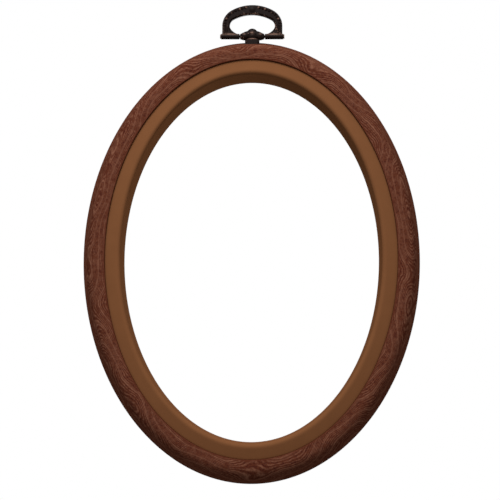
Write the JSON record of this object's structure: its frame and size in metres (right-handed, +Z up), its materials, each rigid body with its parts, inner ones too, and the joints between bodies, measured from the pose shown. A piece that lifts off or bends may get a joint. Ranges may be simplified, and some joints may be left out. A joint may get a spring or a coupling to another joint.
{
  "type": "oval embroidery hoop",
  "caption": "Oval embroidery hoop that doubles as a frame: a flexible wood-grain outer ring stretched over a rigid inner ring, with a hinged cast hanger at the top.",
  "frame": {"origin": "the point inside the top of the bail that rests on a nail, on the hanger's middle line and level with the hinge pin in depth", "axes": "+Z up towards the top of the hanger, -Y out of the front of the hoop, +X to the right seen from the front"},
  "size_m": [0.1188, 0.0121, 0.1699],
  "materials": {
    "woodgrain_vinyl": "flexible moulded vinyl with an embossed wood grain, wiped lighter in the grain",
    "tan_plastic": "rigid moulded plastic, satin",
    "antique_bronze": "zinc casting plated in dark antique bronze, rubbed brighter on its high points",
    "plated_steel": "turned steel, plated"
  },
  "bodies": {
    "bail": {"hanger_bail": "antique_bronze", "hinge_pin": "antique_bronze"},
    "outer": {"outer_hoop": "woodgrain_vinyl", "hanger_bracket": "antique_bronze", "hanger_screw": "plated_steel", "hanger_washer": "plated_steel"},
    "inner": {"inner_hoop": "tan_plastic"}
  },
  "joints": [
    {"name": "hanger_hinge", "type": "hinge", "parent": "bail", "child": "outer", "pos_m": [0, 0, -0.008], "axis": [1, 0, 0], "range_deg": [-127, 104]},
    {"name": "hoop_release", "type": "slide", "parent": "outer", "child": "inner", "axis": [0, 1, 0], "range_m": [0, 0.016]}
  ]
}
